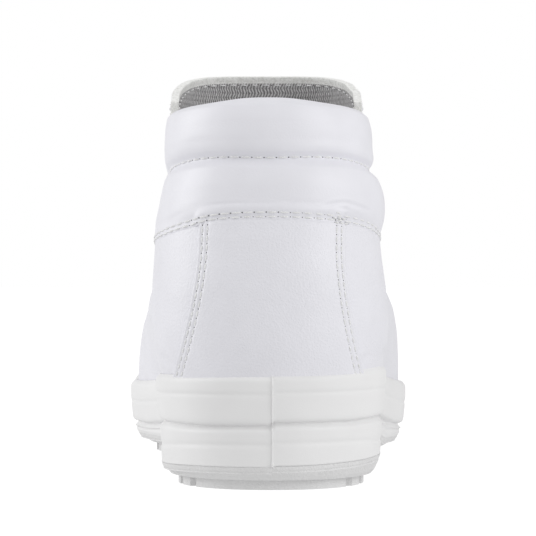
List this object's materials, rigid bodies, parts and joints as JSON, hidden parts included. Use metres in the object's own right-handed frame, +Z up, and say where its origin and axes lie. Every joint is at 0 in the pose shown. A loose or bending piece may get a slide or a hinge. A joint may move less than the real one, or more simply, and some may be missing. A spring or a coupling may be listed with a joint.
{
  "type": "safety boot",
  "caption": "Right ankle-high slip-on safety boot with hollow upper, padded collar rolls, high lined front flap, elastic gussets and a stepped moulded sole with lugs.",
  "frame": {"origin": "on the floor under the middle of the boot's box", "axes": "+Y to the toe, +X to the lateral side of this right boot, +Z up"},
  "size_m": [0.111, 0.3, 0.1484],
  "materials": {
    "sole": "satin moulded white polyurethane",
    "leather": "smooth white microfibre with a fine grain",
    "footbed": "grey textile footbed",
    "lining": "grey spacer mesh with an off-white felt edge",
    "elastic": "ribbed white elastic"
  },
  "bodies": {
    "root": {"outsole": "sole", "midsole": "sole", "upper": "leather", "heel_panel": "leather", "collar_lower": "leather", "collar_upper": "leather", "insole": "footbed", "front_flap": "lining", "gusset_lateral": "elastic", "gusset_medial": "elastic"}
  },
  "joints": []
}
